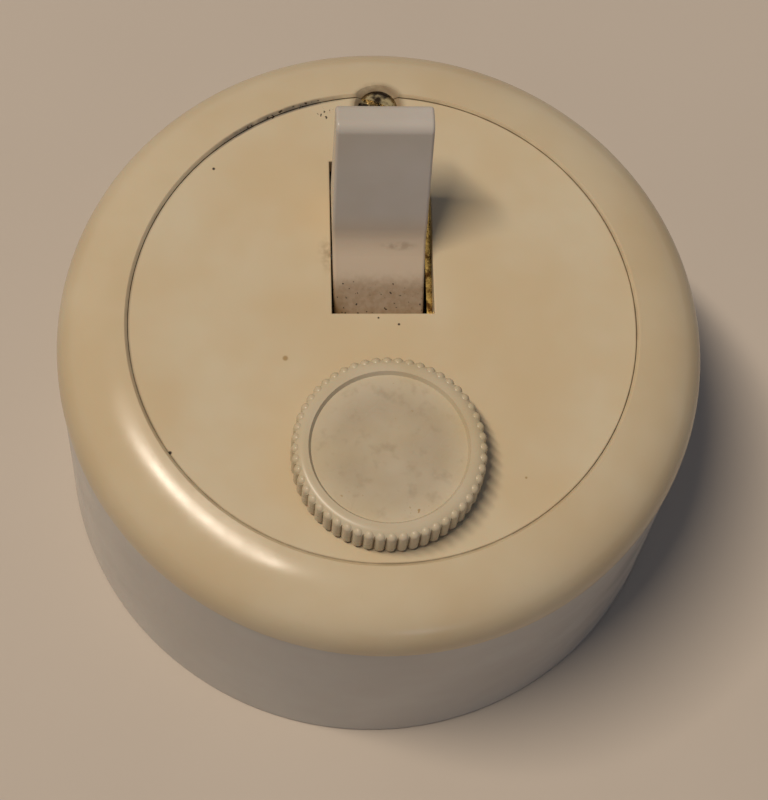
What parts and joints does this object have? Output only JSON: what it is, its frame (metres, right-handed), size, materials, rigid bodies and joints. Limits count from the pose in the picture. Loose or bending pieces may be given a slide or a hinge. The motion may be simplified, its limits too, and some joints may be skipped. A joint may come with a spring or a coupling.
{
  "type": "two-way light switch",
  "caption": "Round surface-mounted two-way light switch with a toggle lever in an inset face plate, a knurled cover nut and a see-saw contact inside a deep round base box",
  "frame": {"origin": "centre of the round back face, on the wall", "axes": "+Z out of the wall through the face plate, +Y from the lever's slot towards the cover screw, +X to the right seen from the front"},
  "size_m": [0.0652, 0.0652, 0.0508],
  "materials": {
    "moulded_cream": "aged cream moulded urea with a dulled polish",
    "moulded_lever": "cooler off-white moulded urea",
    "moulded_black": "dark moulded phenolic",
    "brass": "stamped and turned brass",
    "bronze_steel": "darkened bronze-finished steel",
    "spring_steel": "drawn steel wire",
    "contact_silver": "silver contact facing"
  },
  "bodies": {
    "housing": {"base_box": "moulded_cream", "cover_ring": "moulded_cream", "face_plate": "moulded_cream", "cover_screw": "bronze_steel", "screw_insert": "brass", "cover_stud": "brass", "stud_lock_nut": "brass", "pivot_pin": "spring_steel", "left_bearing": "brass", "right_bearing": "brass", "bearing_screws": "bronze_steel", "contact_block": "moulded_black", "block_screws": "bronze_steel", "rocker_pin": "spring_steel", "common_bracket": "brass", "near_contact": "brass", "far_contact": "brass", "near_button": "contact_silver", "far_button": "contact_silver", "common_terminal": "brass", "near_terminal": "brass", "far_terminal": "brass", "common_terminal_screw": "bronze_steel", "near_terminal_screw": "bronze_steel", "far_terminal_screw": "bronze_steel"},
    "toggle": {"toggle_lever": "moulded_lever", "lever_spring": "spring_steel"},
    "plunger": {"plunger": "moulded_lever"},
    "rocker": {"contact_rocker": "brass", "rocker_buttons": "contact_silver"},
    "cover_nut": {"knurled_nut": "moulded_cream", "nut_insert": "brass"}
  },
  "joints": [
    {"name": "toggle_throw", "type": "hinge", "parent": "housing", "child": "toggle", "pos_m": [-0.00038, 0.0092, 0.0297], "axis": [1, 0, 0], "range_deg": [0, 26]},
    {"name": "plunger_slide", "type": "slide", "parent": "toggle", "child": "plunger", "axis": [0, 0.225, 0.9744], "range_m": [0, 0.0012], "stiffness_N_per_m": 400, "springref_m": -0.001, "deforming": ["lever_spring"]},
    {"name": "rocker_tilt", "type": "hinge", "parent": "housing", "child": "rocker", "pos_m": [-0.00038, 0.0092, 0.0144], "axis": [1, 0, 0], "range_deg": [-19.5, 0]},
    {"name": "cover_nut_turn", "type": "hinge", "parent": "housing", "child": "cover_nut", "pos_m": [0, -0.0147, 0.0345], "axis": [0, 0, 1], "continuous": true}
  ],
  "couplings": [
    {"joint": "rocker_tilt", "follows": "toggle_throw", "ratio": -0.75}
  ]
}
